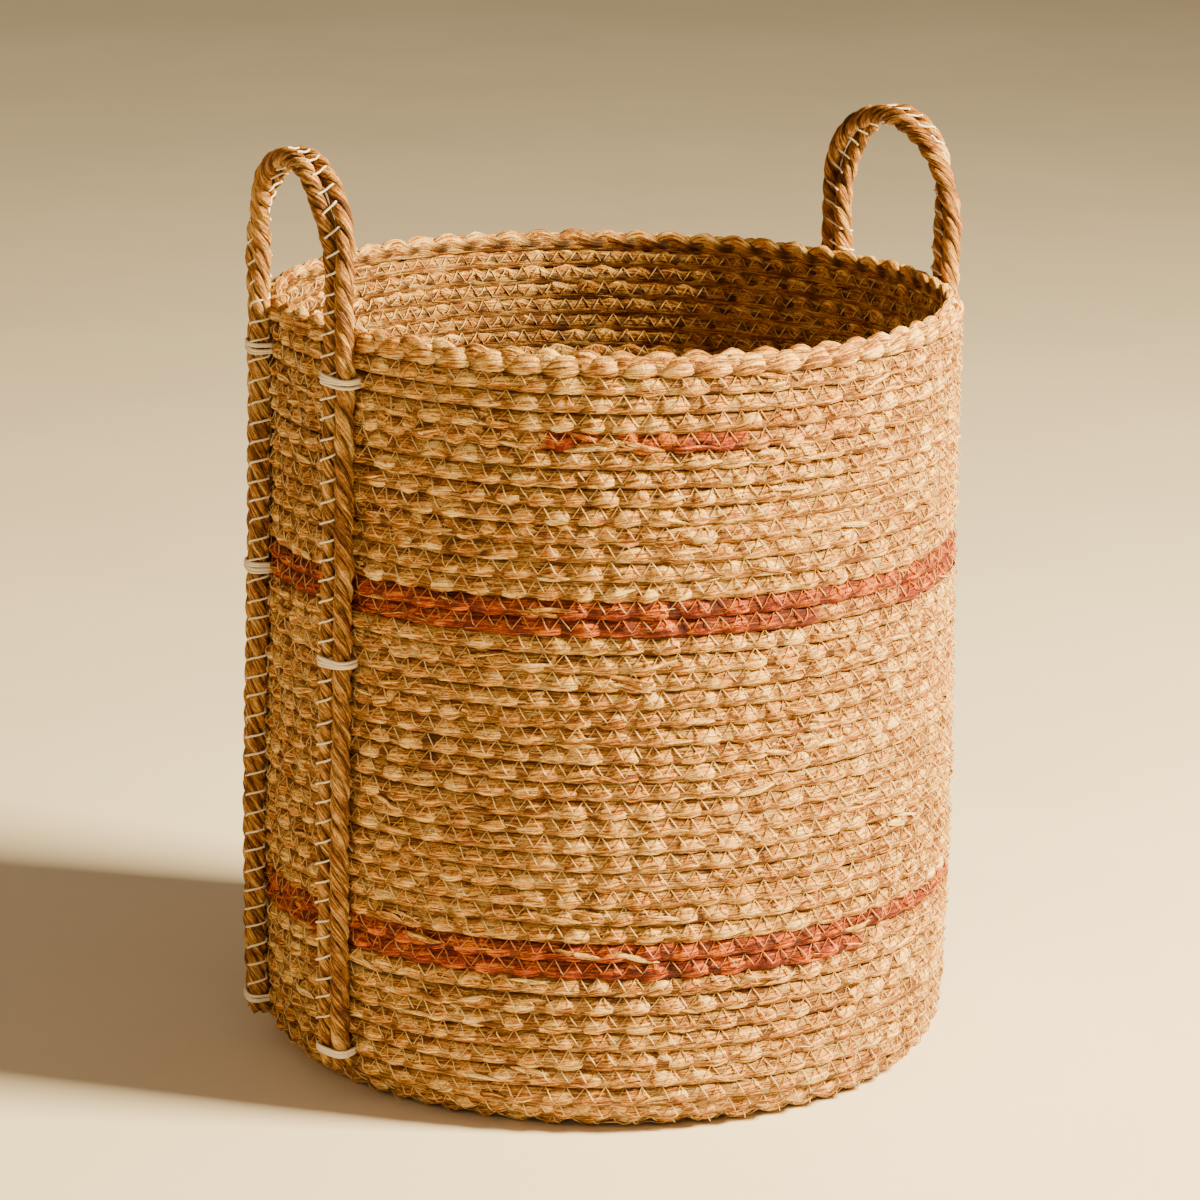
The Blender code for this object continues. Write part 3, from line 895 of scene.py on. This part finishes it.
def makeWhipping(side, band, plies, seed):
    length, z = band["length"], band["spots"][:, 2]
    foot = np.interp(whip["foot"], z[:100], length[:100])
    dice = np.random.default_rng(seed)
    count = int((length[-1] - 2 * foot) / whip["pitch"])
    lap = np.linspace(0, count, whip["points"] * count + 1)
    laps = np.arange(count + 2)
    q, part = 2 * pi * lap, lap % 1.0
    rest = whip["pitch"] - whip["slant"]
    fall = np.where(part < 0.5, part * 2 * whip["slant"], whip["slant"] + (part - 0.5) * 2 * rest)
    jitter = np.interp(lap, laps, dice.uniform(-1.2, 1.2, count + 2) * mm)
    s = length[-1] - foot - np.floor(lap + 1e-9) * whip["pitch"] - fall + jitter
    height, spread = whip["loop"]
    onLoop = ease((np.interp(s, length, z) - height) / spread)
    uneven = 1 + np.interp(lap, laps, dice.uniform(-0.10, 0.08, count + 2))
    wide = (whip["reach"] - whip["narrower"] * onLoop) * uneven
    aside = whip["aside"] * (1 - onLoop) + wide * np.cos(q)
    front = np.sign(np.sin(q) + 1e-9)
    way = np.sign(dot(band["over"], band["across"]).mean())
    ground = np.zeros(len(s))
    for ply, strands in plies.items():
        rise = way * (aside - ply * handle["plyOffset"])
        for strand in strands:
            ground = np.maximum(ground, strandReach(strand, length, s, rise, front, 0))
    proud = np.maximum(ground, whip["least"]) + 0.15 * whip["thread"]
    lift = front * np.where(np.abs(np.sin(q)) > 0.3, proud, 0)

    def onBand(key):
        return np.stack([np.interp(s, length, band[key][:, i]) for i in range(3)], 1)

    row = {
        "points": onBand("spots") + onBand("across") * aside[:, None] + onBand("face") * lift[:, None],
        "half": np.full(len(s), whip["thread"]), "seed": seed,
        "tone": 0.7 + 0.2 * wander(seed, 0.02, 0.2)(s),
    }
    piece = layCords(side + "_handle_stitches", [row], 6, cotton)
    bendAt(piece)
    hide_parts(*(f"{side}_{n}_seam_thread" for n in ("front_leg", "back_leg", "loop")))


# each tie is a few strings side by side, over the leg and back into the wall
tie = {
    "turns": (4, 4, 3),  # at the top, in the middle and at the bottom
    "string": 0.82 * mm,
    "reach": 10.4 * mm,
    "lift": 5.8 * mm,
    "root": 6.5 * mm,  # how deep in the wall the ends are hidden
    "sweep": 1.12,  # a little more than half way round
    "tuck": 0.22,  # how much the ends draw in under the leg
}


def makeTies(side, band, seed):
    z = band["spots"][:, 2]
    middle = len(z) // 2
    dice = np.random.default_rng(seed)
    up = np.array([0.0, 0.0, 1.0])
    q = np.linspace(-1, 1, 19)
    wide = np.sin(q * pi / 2 * tie["sweep"])
    arch = np.abs(np.cos(q * pi / 2 * tie["sweep"])) ** 0.36
    arch = np.where(np.abs(q) > 1 / tie["sweep"], -0.1, arch)
    drawnIn = 1 - tie["tuck"] * ease((np.abs(q) - 0.78) / 0.22)
    for leg, part in (("front", slice(0, middle)), ("back", slice(-1, middle, -1))):
        for place, turns in zip(("top", "middle", "bottom"), tie["turns"]):
            node = f"{side}_{leg}_{place}_tie"
            height, tall = (low(node).z + high(node).z) / 2, high(node).z - low(node).z
            centre, across, face = (
                np.array([np.interp(height, z[part], band[key][part][:, i]) for i in range(3)])
                for key in ("spots", "across", "face"))
            rows = []
            for n in range(turns):
                step = ((n + 0.5) / turns - 0.5) * (tall - 0.2 * mm)
                slant = dice.uniform(-0.08, 0.05)
                swing = dice.uniform(-0.12, 0.12, 3) * mm
                aside = np.sign(wide) * np.abs(wide) ** 0.62 * (tie["reach"] + swing[0]) * drawnIn
                lift = -tie["root"] + (tie["root"] + tie["lift"] + swing[1]) * arch
                rise = step + slant * aside + 0.25 * mm * np.sin(q * 3 + n)
                spots = centre + across * aside[:, None] + face * lift[:, None] + up * rise[:, None]
                rows.append({
                    "points": spots, "half": np.full(len(q), tie["string"]), "seed": seed + n,
                    "face": np.tile(face, (len(q), 1)),
                    "tone": np.full(len(q), dice.uniform(0.45, 0.9)),
                })
            piece = layCords(f"{side}_{leg}_{place}_string", rows, 6, cotton)
            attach(piece, "basket")
            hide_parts(node)


for handleSide, handleSeed in (("left", 400), ("right", 500)):
    bandLine = handleBand(handleSide)
    bandPlies = makePlies(handleSide, bandLine, handleSeed)
    makeWhipping(handleSide, bandLine, bandPlies, handleSeed + 50)
    makeTies(handleSide, bandLine, handleSeed + 60)
print("handles tied on")

# loose ends are leaf tips laid over the plait, and stray fibres that stand off it
ends = {
    "leaves": 420,
    "leafLong": (0.012, 0.026),
    "leafWide": (1.0 * mm, 2.2 * mm),
    "leafStand": (0.0, 0.5 * mm),
    "accentBreak": (-1.9, -1.2, -0.6, 0, 0.4, 0.9, 1.4),  # degrees; these part the short dyed length
    "fibres": 650,
    "insideFibres": 160,
    "fibreLong": (0.005, 0.016),
    "fibreWide": (0.14 * mm, 0.34 * mm),
    "fibreStand": (0.2 * mm, 2.4 * mm),
}


# turns along the rope to a place on some course, in degrees to the right of the front
def turnAt(course, degrees):
    return course + (coil["start"] - shot["bearing"] - degrees) / 360 % 1


def looseRow(dice, turn, side, long, wide, stand, points):
    length = dice.uniform(*long)
    ring = np.interp(turn, fine, fineLength)
    way = dice.choice((-1, 1))
    u = np.linspace(0, 1, points)
    place = np.interp(ring + way * u * length, fineLength, fine)
    rise = (dice.uniform(-0.38, 0.30) + u * dice.uniform(-0.35, 0.35) * length / (12 * mm)) * pitch
    rise = np.clip(rise, -0.5 * pitch, 0.5 * pitch)
    ground = reachOf(ropeStrands, ropeTurn, place, rise, side)
    lift = np.maximum(ground, ground.mean() - 0.4 * mm) + 0.15 * mm + dice.uniform(*stand) * u**2
    lift[0] = lift[0] - 1.2 * mm
    spots, out = spotOn(place, coilCourse(place) - rise / pitch, side * lift)[:2]
    taper = np.maximum(0.12, np.sin(pi * np.clip(0.12 + 0.85 * u, 0, 1)) ** 0.7)
    half = dice.uniform(*wide) * taper
    spots[:, 2] = np.maximum(spots[:, 2], half)
    dye = dyeOf(np.full(points, turn)) * dice.choice((0.2, 1.0))
    tone = np.full(points, dice.uniform(0.25, 0.95))
    return {
        "points": spots, "half": half, "face": out * side, "length": u * length, "dye": dye,
        "tone": tone, "seed": dice.integers(900),
    }


def layLooseEnds():
    dice = np.random.default_rng(77)
    leaves = []
    breaks = [turnAt(3, degrees) for degrees in ends["accentBreak"]]
    for turn in np.r_[dice.uniform(0.2, 42, ends["leaves"]), breaks]:
        row = looseRow(dice, turn, 1, ends["leafLong"], ends["leafWide"], ends["leafStand"], 7)
        leaves.append({**row, "flat": 0.22, "wide": 1.0, "fold": wander(88, 0.01, 0.05)})
    fibres = []
    shape = (ends["fibreLong"], ends["fibreWide"], ends["fibreStand"])
    for side, count in ((1, ends["fibres"]), (-1, ends["insideFibres"])):
        for turn in dice.uniform(0.2, 42, count):
            fibres.append(looseRow(dice, turn, side, *shape, 5))
    for name, rows, sides in (("leaf_ends", leaves, 6), ("stray_fibres", fibres, 4)):
        piece = layCords(name, rows, sides, straw)
        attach(piece, "basket")
    print("loose ends laid")


layLooseEnds()

# each light: its bearing and height in degrees, its distance, size, power and tint
studio = {
    "key": (-46, 38, 2.4, 0.5, 372, (1.0, 0.755, 0.375)),
    "front": (-118, 24, 2.8, 1.6, 5, (1.0, 0.70, 0.36)),
    "left": (165, 20, 2.4, 1.6, 12, (1.0, 0.56, 0.20)),
}
setting = {"tint": (1.0, 0.76, 0.46), "strength": 0.24, "aimHeight": 0.22, "floorRadius": 8.0}


def setLights():
    world = bpy.data.worlds.new("studio")
    bpy.context.scene.world = world
    world.use_nodes = True
    background = world.node_tree.nodes["Background"]
    background.inputs["Color"].default_value = (*setting["tint"], 1)
    background.inputs["Strength"].default_value = setting["strength"]
    for name, (bearing, rise, distance, size, power, tint) in studio.items():
        lamp = bpy.data.lights.new(name, "AREA")
        lamp.size, lamp.energy, lamp.color = size, power, tint
        light = bpy.data.objects.new(name, lamp)
        bpy.context.scene.collection.objects.link(light)
        b, r = math.radians(bearing), math.radians(rise)
        back = Vector((math.cos(b) * math.cos(r), math.sin(b) * math.cos(r), math.sin(r)))
        light.location = Vector((0, 0, setting["aimHeight"])) + back * distance
        light.rotation_euler = back.to_track_quat("Z", "Y").to_euler()


def layFloor():
    f = Finish("floorPaint")
    spot = f.node("TexCoord", {}, {}, "Object")
    grain = f.noise(spot, 3.0, 4, 0.6)
    colour = f.ramp(grain, [(0.3, (0.80, 0.75, 0.69)), (0.7, (0.86, 0.81, 0.74))])
    paint = f.surface(colour, 0.7 + grain * 0.15, f.bump(grain, 0.1, 0.2 * mm))
    work = bmesh.new()
    bmesh.ops.create_circle(work, cap_ends=True, segments=96, radius=setting["floorRadius"])
    mesh = bpy.data.meshes.new("floor")
    work.to_mesh(mesh)
    work.free()
    mesh.materials.append(paint)
    floor = bpy.data.objects.new("floor", mesh)
    bpy.context.scene.collection.objects.link(floor)


setLights()
layFloor()
print("studio lit")
